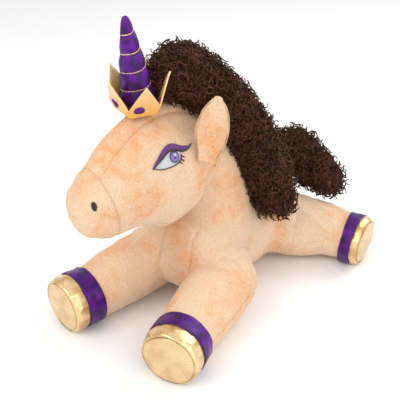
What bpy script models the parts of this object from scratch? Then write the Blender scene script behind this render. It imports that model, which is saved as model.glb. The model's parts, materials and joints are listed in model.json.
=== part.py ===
"""A plush unicorn lying on its belly: sewn skins over fibre filling, with every sewn-on piece.

Run with: blender --background --python part.py
Metres, +Z up. The unicorn faces -Y, its left side is +X, and it lies on the XY plane.
The whole toy is centred over the origin.
"""

import math

import bmesh
import bpy
import numpy as np
from mathutils import Euler, Matrix, Vector

MM = 0.001

# ---------------------------------------------------------------- driving dimensions (mm, degrees)
SKIN = 1.2          # plush backing, sewn
GAP = 0.4           # clearance that neighbouring solids keep
SATIN = 0.6         # a ribbon's cloth
LEATHER = 1.0       # a hoof's cloth
HEAD_YAW = -10.0    # the head is sewn on looking a little to its right
LEG_SWING = 12.0    # how far a leg swings each way
CENTRE_SHIFT = -23.775  # brings the middle of the whole length over the origin
NECK_PIVOT = (0, 12, 140)
NECK_BALL = 29.0

# Stations of each stuffed form: centre x, y, z, then half width and half height.
TRUNK = [
    (0, 146, 42, 30, 30), (0, 128, 43, 40, 43), (0, 98, 44, 45, 49), (0, 66, 46, 45, 52),
    (0, 30, 50, 44, 54), (0, 0, 50, 43, 48), (0, -22, 53, 38, 40),
]
NECK = [
    (0, 24, 52, 34, 34), (0, 22, 84, 36, 38), (0, 20, 110, 33, 34), (0, 17, 128, 30, 30),
    (0, 12, 140, 29, 29),
]
HEAD = [
    (0, -12, 156, 30, 40), (0, -24, 155, 34, 53), (0, -44, 153, 36, 59), (0, -66, 152, 35, 60),
    (0, -88, 149, 30, 55), (0, -106, 142, 25.5, 44), (0, -121, 137, 23.5, 35), (0, -132, 134, 20.5, 27),
]
TRUNK_DOMES = (14, 22)  # rounding off of the rump and of the chest
PANEL_HALF_WIDTH = 21.0     # of the chest and belly panels
PANEL_SPLIT = 3.5           # how far back the chest panel meets the belly panel
CHEST_PANEL_TOP = 100.0
BELLY_PANEL_TOP = 24.0
NECK_MOUTH = (0, 12, 172)   # the opening at the neck's upper end, under the head
NECK_MOUTH_RADIUS = 30.0
TRUNK_FILLING_INSET = 3.24
TRUNK_FILLING_FLOOR = 2.64
MUZZLE_SEAM = 0.80  # where the muzzle panel is sewn on, as a share of the head's length
FRONT_LEG = [
    (42, -16, 34, 31, 32), (46, -44, 32, 32, 31), (51, -72, 29, 30, 29), (55.5, -99, 26.5, 26.5, 26),
    (59, -114, 26, 26.5, 26), (61.5, -125, 25.5, 25.5, 25),
]
HIND_LEG = [
    (43, 112, 36, 32, 35), (61, 127, 33, 31, 32), (79, 136, 29, 28, 28), (93, 140.5, 26.5, 25.5, 26),
    (104, 141.5, 26, 26, 26), (112.5, 142, 25.5, 25, 25),
]
# Shares of each leg's spine: the ribbon's two edges, then the edge where the hoof takes over.
RIBBON_EDGES = {"front": (0.54, 0.735), "hind": (0.48, 0.75)}
HOOF_EDGE = {"front": 0.745, "hind": 0.765}
LEG_CLEARANCE = 2.4
LEG_SIDES = 12
DOME = (22, 45, 68)     # degrees of the rings that round off a leg's upper end
RIBBON_LIFT = 1.4
LEG_FILLING_INSET = 3.0
LEG_FILLING_FLOOR = 3.2
SOLE = ((0.4, 1.0), (1.6, 0.97), (3.0, 0.80), (4.0, 0.4))   # distance ahead, share of the size
HEAD_FILLING_INSET = 3.2

TAIL_HINGE = (0, 152, 92)
TAIL = [
    (0, 152, 92, 12, 12), (4, 158, 105, 20, 20), (18, 164, 107, 25, 24), (36, 166, 98, 24, 24),
    (54, 164, 85, 20, 19), (73, 158, 76, 12, 12),
]
FORELOCK = [
    (0, -34, 231, 13, 11), (0, -24, 233, 20, 18), (0, -12, 231, 23, 22), (0, -2, 227, 21, 21),
    (0, 5, 221, 13, 14),
]
MANE = [
    (2, 27, 213, 14, 13), (7, 42, 194, 25, 24), (14, 61, 168, 27, 27), (25, 68, 142, 27, 29),
    (39, 74, 118, 22, 25), (53, 78, 99, 12, 15),
]

HORN = [(15.5, 0), (14.6, 10), (12.6, 27), (10.0, 43), (7.2, 57), (4.4, 67), (0, 72)]
HORN_BASE = (0, -67, 214.5)
HORN_LEAN = 8.0     # degrees that the horn leans forward
HORN_WALL = 0.8
THREAD_RADIUS = 0.45
THREAD_TURNS = 4
THREAD_STEPS = 10   # straight pieces in each turn
THREAD_START = 3.0
THREAD_RISE = 60.0
CROWN_BASE = (0, -68, 213.5)
CROWN_LEAN = 12.0
CROWN_POINTS = 5
CROWN_RADIUS = 18.0
CROWN_BAND = 9.0
CROWN_TIP = 31.0
CROWN_WALL = 1.0
CROWN_FLARE = 17.0  # degrees that the wall leans outwards
CROWN_TURN = 40.0   # where the first point faces, measured from the front towards the left
GEM = (3.2, 4.6, 1.3)

EAR_HINGE = (43, -23, 164)
EAR = [(4, 6.5), (12, 10), (24, 14.5), (36, 15), (46, 12), (53, 6)]  # height, half width
EAR_TURN = 40.0     # the ears face outwards and forwards
EAR_TILT = 10.0
EAR_LAYER = 1.5
EARRING_AT = 7.5    # height of the pierced hole above the ear's seam
EARRING_HOLE = 1.6
EARRING_RADIUS = 6.0
EARRING_WIRE = 0.8

EYE = (11.0, 7.5)
EYE_AT = (0.49, 26)      # share of the head's length, degrees round the ring
NOSTRIL = (2.0, 4.0)
NOSTRIL_AT = (0.90, 28)
PAD_LIFT = 1.4

scene = bpy.context.scene
for old in list(bpy.data.objects):
    bpy.data.objects.remove(old, do_unlink=True)
scene.unit_settings.system = "METRIC"
toy = bpy.data.collections.new("plush_unicorn")
cutters = bpy.data.collections.new("cutters")
scene.collection.children.link(toy)
scene.collection.children.link(cutters)


# ---------------------------------------------------------------- finishes
def finish(name, colour, roughness, metallic=0.0):
    """One Principled material."""
    material = bpy.data.materials.new(name)
    material.use_nodes = True
    shader = material.node_tree.nodes["Principled BSDF"]
    shader.inputs["Base Color"].default_value = (*colour, 1)
    shader.inputs["Roughness"].default_value = roughness
    shader.inputs["Metallic"].default_value = metallic
    return material


PLUSH = finish("plush", (0.80, 0.56, 0.38), 0.95)
FILLING = finish("filling", (0.92, 0.92, 0.90), 1.0)
LEATHERETTE = finish("gold_leatherette", (0.78, 0.58, 0.30), 0.3, 0.85)
RIBBON = finish("purple_satin", (0.10, 0.01, 0.32), 0.35)
CURLS = finish("brown_curls", (0.055, 0.026, 0.016), 0.9)
GOLD_FELT = finish("gold_vinyl", (0.80, 0.52, 0.16), 0.45, 0.4)
GOLD_METAL = finish("gold_metal", (0.83, 0.62, 0.25), 0.25, 1.0)
GOLD_THREAD = finish("gold_thread", (0.76, 0.55, 0.22), 0.4, 0.7)
EMBROIDERY = finish("embroidery", (0.16, 0.10, 0.30), 0.6)
BLACK_THREAD = finish("black_thread", (0.01, 0.01, 0.01), 0.7)


# ---------------------------------------------------------------- building helpers
def add(name, mesh, material, parent=None, collection=toy):
    """Put a mesh in the scene as a named piece; its own coordinates are the toy's, in metres."""
    piece = bpy.data.objects.new(name, mesh)
    collection.objects.link(piece)
    if material:
        mesh.materials.append(material)
    mesh.shade_smooth()
    piece.parent = parent
    return piece


def frame_at(name, at, rotation=(0, 0, 0), parent=None):
    """An empty on a joint's axis, in millimetres and degrees."""
    empty = bpy.data.objects.new(name, None)
    toy.objects.link(empty)
    empty.location = Vector(at) * MM
    empty.rotation_euler = Euler([math.radians(turn) for turn in rotation])
    empty.parent = parent
    return empty


def from_origin(stations, origin):
    """The same stations, measured from a joint's axis."""
    return [(x - origin[0], y - origin[1], z - origin[2], w, h) for x, y, z, w, h in stations]


def mirrored(stations):
    return [(-x, y, z, w, h) for x, y, z, w, h in stations]


def smooth_stations(stations, count):
    """Stations spread evenly along a Catmull-Rom curve through the given ones."""
    rows = np.array(stations, float)
    ends = np.vstack([2 * rows[0] - rows[1], rows, 2 * rows[-1] - rows[-2]])
    spread = np.linspace(0, len(rows) - 1, count)
    found = []
    for place in spread:
        i = min(int(place), len(rows) - 2)
        t = place - i
        a, b, c, d = ends[i : i + 4]
        curve = 2 * b + (c - a) * t + (2 * a - 5 * b + 4 * c - d) * t**2
        curve = curve + (3 * b - a - 3 * c + d) * t**3
        found.append(curve / 2)
    return np.array(found)


def stretch(stations, start, end, count):
    """Stations along part of the curve, between two shares of its length."""
    fine = smooth_stations(stations, 101)
    places = np.linspace(start * 100, end * 100, count)
    return np.array([[np.interp(p, range(101), column) for column in fine.T] for p in places])


def domed(rows, dome, at_start, steps=(30, 58, 80)):
    """Extra shrinking stations that round off one end; dome is the length it adds."""
    if at_start:
        rows = rows[::-1]
    along = rows[-1, :3] - rows[-2, :3]
    along = along / np.linalg.norm(along)
    added = []
    for degrees in steps:
        angle = math.radians(degrees)
        row = rows[-1].copy()
        row[:3] += along * dome * math.sin(angle)
        row[3:] *= math.cos(angle)
        added.append(row)
    rows = np.vstack([rows, added])
    return rows[::-1] if at_start else rows


def ring_points(rows, sides, grow=0.0, arc=(0, 360), floor=None):
    """A grid of points: one elliptical ring, or arc of one, across each station."""
    centres = rows[:, :3]
    tangents = np.gradient(centres, axis=0)
    closed = arc[1] - arc[0] == 360
    angles = np.radians(np.linspace(arc[0], arc[1], sides, endpoint=not closed))
    grid = []
    for centre, tangent, (half_width, half_height) in zip(centres, tangents, rows[:, 3:]):
        tangent = tangent / np.linalg.norm(tangent)
        side = np.cross(tangent, (0, 0, 1))
        if np.linalg.norm(side) < 0.5 or abs(tangent[0]) < 1e-6:
            side = np.array((1.0, 0, 0))
        side = side / np.linalg.norm(side)
        up = np.cross(side, tangent)
        if up[2] < 0 or (abs(up[2]) < 0.3 and up[1] < 0):
            up = -up
        ring = [
            centre + side * (half_width + grow) * math.cos(a) + up * (half_height + grow) * math.sin(a)
            for a in angles
        ]
        grid.append(ring)
    grid = np.array(grid)
    if floor is not None:
        grid[:, :, 2] = np.maximum(grid[:, :, 2], floor)
    return grid, closed


def loft(grid, closed, capped):
    """Quads between neighbouring rings, with both ends filled when the form is a solid."""
    mesh = bpy.data.meshes.new("loft")
    bm = bmesh.new()
    rings = [[bm.verts.new(Vector(point) * MM) for point in ring] for ring in grid]
    for near, far in zip(rings, rings[1:]):
        count = len(near)
        for i in range(count if closed else count - 1):
            j = (i + 1) % count
            bm.faces.new((near[i], near[j], far[j], far[i]))
    if capped:
        bm.faces.new(rings[0])
        bm.faces.new(rings[-1])
    bmesh.ops.recalc_face_normals(bm, faces=bm.faces)
    bm.to_mesh(mesh)
    bm.free()
    return mesh


def solid(name, rows, sides, material, parent=None, grow=0.0, floor=None, collection=toy):
    """A closed stuffed form."""
    grid, closed = ring_points(rows, sides, grow, floor=floor)
    return add(name, loft(grid, closed, True), material, parent, collection)


def skin(name, rows, sides, material, parent=None, grow=0.0, arc=(0, 360), floor=None, wall=SKIN):
    """A sewn panel or tube: the open outer surface, given its thickness inwards."""
    grid, closed = ring_points(rows, sides, grow, arc, floor)
    mesh = loft(grid, closed, False)
    centre = grid[len(grid) // 2].mean(axis=0)
    face = mesh.polygons[len(mesh.polygons) // 2]
    if arc[1] - arc[0] < 180:
        centre = rows[len(rows) // 2, :3]
    outward = Vector(face.center) - Vector(centre) * MM
    if face.normal.dot(outward) < 0:
        mesh.flip_normals()
    piece = add(name, mesh, material, parent)
    thick = piece.modifiers.new("wall", "SOLIDIFY")
    thick.thickness = wall * MM
    thick.offset = -1
    return piece


def cut(piece, cutter):
    hole = piece.modifiers.new("cut", "BOOLEAN")
    hole.operation = "DIFFERENCE"
    hole.object = cutter


def hide(cutter):
    cutter.hide_render = True
    cutter.display_type = "WIRE"
    return cutter


def ball_cutter(name, centre, radius, parent=None):
    mesh = bpy.data.meshes.new(name)
    bm = bmesh.new()
    bmesh.ops.create_uvsphere(bm, u_segments=18, v_segments=10, radius=radius * MM)
    bmesh.ops.translate(bm, verts=bm.verts, vec=Vector(centre) * MM)
    bm.to_mesh(mesh)
    bm.free()
    return hide(add(name, mesh, None, parent, cutters))


def box_cutter(name, low, high):
    mesh = bpy.data.meshes.new(name)
    bm = bmesh.new()
    bmesh.ops.create_cube(bm, size=1)
    low, high = Vector(low) * MM, Vector(high) * MM
    bmesh.ops.scale(bm, verts=bm.verts, vec=high - low)
    bmesh.ops.translate(bm, verts=bm.verts, vec=(low + high) / 2)
    bm.to_mesh(mesh)
    bm.free()
    return hide(add(name, mesh, None, None, cutters))


# ---------------------------------------------------------------- trunk and neck
root = frame_at("toy_centre", (0, 0, 0))
trunk_rows = domed(domed(smooth_stations(TRUNK, 9), TRUNK_DOMES[0], True), TRUNK_DOMES[1], False)
neck_rows = domed(smooth_stations(NECK, 6), NECK_BALL - 1, False)
LEFT, RIGHT = 1, -1


def leg_room(name, stations):
    """The room that a leg sweeps as it swings, taken out of the trunk round the joint."""
    rows = smooth_stations(stations, 6)
    reach = np.linalg.norm(rows[:, :3] - rows[0, :3], axis=1)
    rows[:, 3] += LEG_CLEARANCE + reach * math.sin(math.radians(LEG_SWING))
    rows[:, 4] += LEG_CLEARANCE
    rows = domed(rows, rows[0, 3], True)
    return hide(solid(name, rows, 14, None, collection=cutters))


def trunk_form(name, grow, material, collection, floor):
    """Trunk and neck as one closed form, grown or shrunk from the outer surface."""
    neck = hide(solid(name + "_neck", neck_rows, 16, None, None, grow, collection=cutters))
    form = solid(name, trunk_rows, 18, material, root, grow, floor, collection)
    join = form.modifiers.new("neck", "BOOLEAN")
    join.operation = "UNION"
    join.object = neck
    return form


leg_rooms = []
for side, word in ((LEFT, "left"), (RIGHT, "right")):
    for kind, stations in (("front", FRONT_LEG), ("hind", HIND_LEG)):
        placed = stations if side == LEFT else mirrored(stations)
        leg_rooms.append(leg_room(f"room_{kind}_{word}", placed))

inner_trunk = hide(trunk_form("inner_trunk", -SKIN, None, cutters, SKIN))
neck_mouth = ball_cutter("neck_mouth", NECK_MOUTH, NECK_MOUTH_RADIUS)


def panel_box(name, start, end, top, wider):
    """The part of the trunk's cover that one panel takes; wider by a gap where it is cut out."""
    half = PANEL_HALF_WIDTH + wider
    return box_cutter(name, (-half, start, -5), (half, end, top + wider))


chest_panel = panel_box("chest_panel", -70, PANEL_SPLIT - GAP, CHEST_PANEL_TOP, 0)
belly_panel = panel_box("belly_panel", PANEL_SPLIT + GAP, 150, BELLY_PANEL_TOP, 0)
panel_gaps = [
    panel_box("chest_gap", -70, PANEL_SPLIT, CHEST_PANEL_TOP, GAP),
    panel_box("belly_gap", PANEL_SPLIT - GAP, 150 + GAP, BELLY_PANEL_TOP, GAP),
]
trunk_skin = trunk_form("trunk_skin", 0, PLUSH, toy, 0)
chest_gusset = trunk_form("chest_gusset", 0, PLUSH, toy, 0)
belly_gusset = trunk_form("belly_gusset", 0, PLUSH, toy, 0)
trunk_filling = trunk_form("trunk_filling", -TRUNK_FILLING_INSET, FILLING, toy, TRUNK_FILLING_FLOOR)
for piece in (trunk_skin, chest_gusset, belly_gusset):
    cut(piece, inner_trunk)
    cut(piece, neck_mouth)
for piece, panel in ((chest_gusset, chest_panel), (belly_gusset, belly_panel)):
    keep = piece.modifiers.new("panel", "BOOLEAN")
    keep.operation = "INTERSECT"
    keep.object = panel
for gap in panel_gaps:
    cut(trunk_skin, gap)
for piece in (trunk_skin, chest_gusset, belly_gusset, trunk_filling):
    for room in leg_rooms:
        cut(piece, room)

# ---------------------------------------------------------------- legs
for side, word in ((LEFT, "left"), (RIGHT, "right")):
    for kind, stations in (("front", FRONT_LEG), ("hind", HIND_LEG)):
        placed = stations if side == LEFT else mirrored(stations)
        joint = placed[0][:3]
        hip = frame_at(f"{kind}_{word}_joint", joint, parent=root)
        local = from_origin(placed, joint)
        shoulder = placed[0][3]
        ribbon_start, ribbon_end = RIBBON_EDGES[kind]
        low = -joint[2]
        name = f"{kind}_{word}"
        skin_rows = domed(stretch(local, 0, HOOF_EDGE[kind] - 0.035, 6), shoulder, True, DOME)
        skin(name + "_leg_skin", skin_rows, LEG_SIDES, PLUSH, hip, floor=low + RIBBON_LIFT)
        hoof_rows = stretch(local, HOOF_EDGE[kind], 1, 3)
        skin(name + "_hoof", hoof_rows, LEG_SIDES, LEATHERETTE, hip, floor=low, wall=LEATHER)
        along = hoof_rows[-1, :3] - hoof_rows[-2, :3]
        along = along / np.linalg.norm(along)
        sole_rows = np.array([hoof_rows[-1]] * len(SOLE))
        for row, (ahead, share) in zip(sole_rows, SOLE):
            row[:3] += along * ahead
            row[3:] *= share
        solid(name + "_sole", sole_rows, LEG_SIDES, LEATHERETTE, hip, grow=-0.2, floor=low)
        filling_rows = domed(stretch(local, 0, 1, 7), shoulder, True, DOME)
        floor = low + LEG_FILLING_FLOOR
        solid(name + "_filling", filling_rows, LEG_SIDES, FILLING, hip, -LEG_FILLING_INSET, floor)
        ribbon_rows = stretch(local, ribbon_start, ribbon_end, 3)
        skin(name + "_ribbon", ribbon_rows, LEG_SIDES, RIBBON, hip, RIBBON_LIFT, floor=low, wall=SATIN)

# ---------------------------------------------------------------- head
head = frame_at("head_joint", NECK_PIVOT, (0, 0, HEAD_YAW), root)
head_local = from_origin(HEAD, NECK_PIVOT)
neck_room = ball_cutter("neck_room", (0, 0, 0), NECK_BALL + 3.5, head)
neck_column = hide(
    solid("neck_column", smooth_stations([(0, 6, -70, 42, 40), (0, 2, 0, 33, 33)], 5), 20, None,
          head, collection=cutters)
)
side_rows = stretch(head_local, 0, MUZZLE_SEAM - 0.02, 8)
head_skin = skin("head_skin", side_rows, 16, PLUSH, head, arc=(127, 413))
head_gusset = skin("head_gusset", side_rows, 5, PLUSH, head, arc=(54.5, 125.5))
muzzle_rows = domed(stretch(head_local, MUZZLE_SEAM, 1, 3), 11, False)
muzzle = skin("muzzle_panel", muzzle_rows, 18, PLUSH, head)
filling_rows = domed(domed(stretch(head_local, 0, 0.97, 9), 16, True), 5, False)
head_filling = solid("head_filling", filling_rows, 16, FILLING, head, -HEAD_FILLING_INSET)
for piece in (head_skin, head_gusset, head_filling):
    cut(piece, neck_room)
    cut(piece, neck_column)


def head_surface(share, degrees):
    """A point on the head's plush and the direction that it faces, in the head's own frame."""
    near = stretch(head_local, share, share + 0.02, 2)
    grid, _ = ring_points(near, 2, 0, (degrees, degrees + 2))
    here, ahead, round_it = (Vector(point) for point in (grid[0, 0], grid[1, 0], grid[0, 1]))
    facing = (ahead - here).cross(round_it - here).normalized()
    if facing.dot(here - Vector(near[0, :3])) < 0:
        facing.negate()
    return here, facing


def oval_pad(name, half_sizes, share, degrees, material):
    """A small embroidered oval lying flat against the plush of the head."""
    mesh = bpy.data.meshes.new(name)
    bm = bmesh.new()
    bmesh.ops.create_cone(bm, cap_ends=True, segments=14, radius1=MM, radius2=MM, depth=0.8 * MM)
    bmesh.ops.scale(bm, verts=bm.verts, vec=(half_sizes[1], half_sizes[0], 1))
    bmesh.ops.rotate(bm, verts=bm.verts, matrix=Matrix.Rotation(math.pi / 2, 3, "Y"))
    bm.to_mesh(mesh)
    bm.free()
    here, facing = head_surface(share, degrees)
    pad = add(name, mesh, material, head)
    pad.location = (here + facing * PAD_LIFT) * MM
    pad.rotation_euler = facing.to_track_quat("X", "Z").to_euler()
    return pad


for word, turn in (("left", lambda degrees: degrees), ("right", lambda degrees: 180 - degrees)):
    oval_pad(f"eye_{word}", EYE, EYE_AT[0], turn(EYE_AT[1]), EMBROIDERY)
    oval_pad(f"nostril_{word}", NOSTRIL, NOSTRIL_AT[0], turn(NOSTRIL_AT[1]), BLACK_THREAD)


# ---------------------------------------------------------------- horn and crown
def in_head(at):
    return [at[i] - NECK_PIVOT[i] for i in range(3)]


def turned(name, profile, material, parent, steps):
    """A turned shape: the profile runs from the tip down its outer side."""
    mesh = bpy.data.meshes.new(name)
    bm = bmesh.new()
    points = [bm.verts.new((radius * MM, 0, height * MM)) for radius, height in profile]
    for upper, lower in zip(points, points[1:]):
        bm.edges.new((upper, lower))
    bm.to_mesh(mesh)
    bm.free()
    piece = add(name, mesh, material, parent)
    screw = piece.modifiers.new("turn", "SCREW")
    screw.steps = steps
    screw.render_steps = steps
    screw.use_merge_vertices = True
    screw.merge_threshold = 0.00001
    return piece


horn = frame_at("horn_frame", in_head(HORN_BASE), (HORN_LEAN, 0, 0), head)
horn_skin = turned("horn_skin", HORN[::-1], RIBBON, horn, 16)
horn_wall = horn_skin.modifiers.new("wall", "SOLIDIFY")
horn_wall.thickness = HORN_WALL * MM
horn_wall.offset = -1
inside = [(max(radius - HORN_WALL - GAP, 0.8), height) for radius, height in HORN[:-1]]
turned("horn_filling", [(0, HORN[-2][1])] + inside[::-1] + [(0, 0)], FILLING, horn, 12)

heights = [height for _, height in HORN]
radii = [radius for radius, _ in HORN]
thread = bpy.data.curves.new("horn_thread", "CURVE")
thread.dimensions = "3D"
thread.bevel_depth = THREAD_RADIUS * MM
thread.bevel_resolution = 1
thread.use_fill_caps = True
winding = thread.splines.new("POLY")
winding.points.add(THREAD_TURNS * THREAD_STEPS)
for i, point in enumerate(winding.points):
    angle = 2 * math.pi * i / THREAD_STEPS
    height = THREAD_START + THREAD_RISE * i / (THREAD_TURNS * THREAD_STEPS)
    reach = np.interp(height, heights, radii) * 1.03 + THREAD_RADIUS + GAP
    point.co = (reach * math.cos(angle) * MM, reach * math.sin(angle) * MM, height * MM, 1)
thread.materials.append(GOLD_THREAD)
thread_piece = bpy.data.objects.new("horn_thread", thread)
toy.objects.link(thread_piece)
thread_piece.parent = horn

crown_frame = frame_at("crown_frame", in_head(CROWN_BASE), (CROWN_LEAN, 0, CROWN_TURN), head)
POINT_COLUMNS = 6
COLUMNS = POINT_COLUMNS * CROWN_POINTS
crown_mesh = bpy.data.meshes.new("crown")
bm = bmesh.new()
spread = math.tan(math.radians(CROWN_FLARE))
rims = [[], [], []]
for i in range(COLUMNS):
    angle = 2 * math.pi * i / COLUMNS - math.pi / 2
    from_tip = abs((i / POINT_COLUMNS + 0.5) % 1 - 0.5) * 2
    top = CROWN_BAND + (CROWN_TIP - CROWN_BAND) * (1 - from_tip)
    for rim, height in zip(rims, (0, CROWN_BAND * 0.8, top)):
        reach = CROWN_RADIUS + height * spread
        rim.append(bm.verts.new(Vector((reach * math.cos(angle), reach * math.sin(angle), height)) * MM))
for low_rim, high_rim in zip(rims, rims[1:]):
    for i in range(COLUMNS):
        j = (i + 1) % COLUMNS
        bm.faces.new((low_rim[i], low_rim[j], high_rim[j], high_rim[i]))
bm.to_mesh(crown_mesh)
bm.free()
crown = add("crown", crown_mesh, GOLD_FELT, crown_frame)
crown_wall = crown.modifiers.new("wall", "SOLIDIFY")
crown_wall.thickness = CROWN_WALL * MM
crown_wall.offset = -1

for i in range(CROWN_POINTS):
    angle = 2 * math.pi * i / CROWN_POINTS - math.pi / 2
    height = CROWN_BAND + 2
    reach = CROWN_RADIUS + height * spread + GEM[2] + 0.5
    gem_mesh = bpy.data.meshes.new(f"crown_gem_{i + 1}")
    bm = bmesh.new()
    bmesh.ops.create_uvsphere(bm, u_segments=8, v_segments=5, radius=MM)
    bmesh.ops.scale(bm, verts=bm.verts, vec=(GEM[2], GEM[1], GEM[0]))
    bm.to_mesh(gem_mesh)
    bm.free()
    gem = add(f"crown_gem_{i + 1}", gem_mesh, RIBBON, crown_frame)
    gem.location = Vector((reach * math.cos(angle), reach * math.sin(angle), height)) * MM
    gem.rotation_euler = (0, math.radians(CROWN_FLARE), angle)

# ---------------------------------------------------------------- ears and earrings
for side, word in ((LEFT, "left"), (RIGHT, "right")):
    at = in_head((side * EAR_HINGE[0], EAR_HINGE[1], EAR_HINGE[2]))
    hinge = frame_at(f"ear_{word}_joint", at, (0, side * EAR_TILT, side * EAR_TURN), head)
    for layer, offset in (("ear_back", 0.95), ("ear_lining", -0.95)):
        stations = [(0, offset, height, width, EAR_LAYER / 2) for height, width in EAR]
        rows = smooth_stations(stations, 6)
        piece = solid(f"{layer}_{word}", rows, 10, PLUSH, hinge)
        hole_mesh = bpy.data.meshes.new("earring_hole")
        bm = bmesh.new()
        bmesh.ops.create_cone(
            bm, cap_ends=True, segments=8, radius1=EARRING_HOLE * MM, radius2=EARRING_HOLE * MM,
            depth=12 * MM,
        )
        bmesh.ops.rotate(bm, verts=bm.verts, matrix=Matrix.Rotation(math.pi / 2, 3, "X"))
        bmesh.ops.translate(bm, verts=bm.verts, vec=(0, 0, EARRING_AT * MM))
        bm.to_mesh(hole_mesh)
        bm.free()
        cut(piece, hide(add(f"{layer}_{word}_hole", hole_mesh, None, hinge, cutters)))
    ring_joint = frame_at(f"earring_{word}_joint", (0, 0, EARRING_AT), (0, -side * EAR_TILT, 0), hinge)
    bpy.ops.mesh.primitive_torus_add(
        major_radius=EARRING_RADIUS * MM, minor_radius=EARRING_WIRE * MM,
        major_segments=14, minor_segments=6,
    )
    ring = bpy.context.object
    ring.name = f"earring_{word}"
    for owner in ring.users_collection:
        owner.objects.unlink(ring)
    toy.objects.link(ring)
    ring.data.materials.append(GOLD_METAL)
    ring.data.transform(Matrix.Rotation(math.pi / 2, 4, "Y"))
    ring.data.transform(Matrix.Translation((0, 0, -EARRING_RADIUS * MM)))
    ring.parent = ring_joint

# ---------------------------------------------------------------- mane and tail
solid("mane_forelock", domed(domed(smooth_stations(from_origin(FORELOCK, NECK_PIVOT), 6), 6, True), 5, False),
      10, CURLS, head)
solid("mane_neck", domed(domed(smooth_stations(MANE, 8), 7, True), 8, False), 10, CURLS, root)
tail_joint = frame_at("tail_joint", TAIL_HINGE, parent=root)
tail_rows = domed(domed(smooth_stations(from_origin(TAIL, TAIL_HINGE), 8), 7, True), 8, False)
solid("tail", tail_rows, 10, CURLS, tail_joint)

# ---------------------------------------------------------------- the toy's centre
# The forms above are measured from the middle of the front legs' shoulders; the toy's own
# origin is under the middle of its whole length.
for piece in bpy.data.objects:
    if piece.parent is None:
        piece.location.y += CENTRE_SHIFT * MM
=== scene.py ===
# %% [markdown]
# # A plush unicorn, from imported solids to a stuffed toy
#
# The imported model says where everything is and what turns on what. This lesson dresses it: each sewn
# skin, curl, ribbon and gem is made as its own piece and rides on the body that it belongs to. The
# dressed toy has to stay close to it.

import json
import math
import random

import bmesh
import bpy
import numpy as np
from mathutils import Matrix, Vector, noise
from mathutils.bvhtree import BVHTree
from mathutils.kdtree import KDTree

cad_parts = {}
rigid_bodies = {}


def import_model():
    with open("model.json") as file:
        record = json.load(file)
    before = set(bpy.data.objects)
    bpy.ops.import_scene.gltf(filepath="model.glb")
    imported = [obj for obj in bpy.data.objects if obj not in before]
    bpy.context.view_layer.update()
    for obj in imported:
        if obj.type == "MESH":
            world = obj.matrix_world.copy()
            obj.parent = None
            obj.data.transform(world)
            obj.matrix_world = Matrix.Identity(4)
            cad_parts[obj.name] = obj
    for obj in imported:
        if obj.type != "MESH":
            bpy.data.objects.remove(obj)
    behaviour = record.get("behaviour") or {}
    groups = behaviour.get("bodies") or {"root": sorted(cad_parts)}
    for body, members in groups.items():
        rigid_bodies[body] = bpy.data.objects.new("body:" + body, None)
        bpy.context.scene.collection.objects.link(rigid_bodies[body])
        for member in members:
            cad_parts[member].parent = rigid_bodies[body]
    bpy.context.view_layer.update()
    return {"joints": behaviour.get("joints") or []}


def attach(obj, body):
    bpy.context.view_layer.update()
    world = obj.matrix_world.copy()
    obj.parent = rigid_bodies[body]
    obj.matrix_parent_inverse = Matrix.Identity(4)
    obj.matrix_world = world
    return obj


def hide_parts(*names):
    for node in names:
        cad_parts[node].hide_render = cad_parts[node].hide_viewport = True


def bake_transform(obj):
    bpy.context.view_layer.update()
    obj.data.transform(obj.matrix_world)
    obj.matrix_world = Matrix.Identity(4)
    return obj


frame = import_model()
scene = bpy.context.scene
pivots = {joint["name"]: Vector(joint["pos_m"]) for joint in frame["joints"]}
axes = {joint["name"]: Vector(joint["axis"]) for joint in frame["joints"]}

# %% [markdown]
# ## Two working frames
#
# A toy maker measures in millimetres from a landmark, so the forms below do too: from the floor under
# the middle of the front shoulders. `BODY` carries such a point into the scene, in metres. The head is
# sewn on looking a little to one side, so its forms are drawn straight ahead and `HEAD` turns them.
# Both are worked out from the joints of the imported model.

# %% The working frames
MM = 0.001
NECK_AT = (0, 12, 140)      # the nod's pivot, in the maker's own millimetres
SIDES = {"left": 1, "right": -1}
FLOOR_LIFT = 0.3            # the toy touches the floor with this little to spare

shift = pivots["head_nod"] - Vector(NECK_AT) * MM
yaw = Matrix.Rotation(math.atan2(axes["head_nod"].y, axes["head_nod"].x), 4, "Z")
BODY = Matrix.Translation(shift) @ Matrix.Scale(MM, 4)
HEAD = Matrix.Translation(pivots["head_nod"]) @ yaw @ Matrix.Scale(MM, 4)
HEAD = HEAD @ Matrix.Translation(-Vector(NECK_AT))
print("the head looks", round(math.degrees(yaw.to_euler().z)), "degrees to one side")

# %% [markdown]
# ## The camera, the floor and the light
#
# Settling the view first keeps every later look comparable. The camera stands in front and to the
# toy's left, a little above it, with a fairly long lens, as for a catalogue. A large soft key, a fill
# and a rim light over a pale floor make the short pile read without hard shadows.

# %% Camera
CAMERA_TURN = math.radians(36)
CAMERA_RISE = math.radians(27.6)
CAMERA_FAR = 0.65
CAMERA_LENS = 61.1
AIM = Vector((0, -0.0231, 0.1005))

back = Vector((
    math.sin(CAMERA_TURN) * math.cos(CAMERA_RISE),
    -math.cos(CAMERA_TURN) * math.cos(CAMERA_RISE),
    math.sin(CAMERA_RISE),
))
camera = bpy.data.objects.new("camera", bpy.data.cameras.new("camera"))
camera.data.lens = CAMERA_LENS
camera.data.sensor_width = 36
camera.location = AIM + back * CAMERA_FAR
camera.rotation_euler = back.to_track_quat("Z", "Y").to_euler()
scene.collection.objects.link(camera)
scene.camera = camera
print("camera at", [round(value, 3) for value in camera.location])


# %% Soft studio light
def area_light(name, at, size, watts):
    """A square soft box that looks at the toy."""
    light = bpy.data.objects.new(name, bpy.data.lights.new(name, "AREA"))
    light.data.size = size
    light.data.energy = watts
    light.location = at
    light.rotation_euler = (Vector(at) - AIM).to_track_quat("Z", "Y").to_euler()
    scene.collection.objects.link(light)


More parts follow.
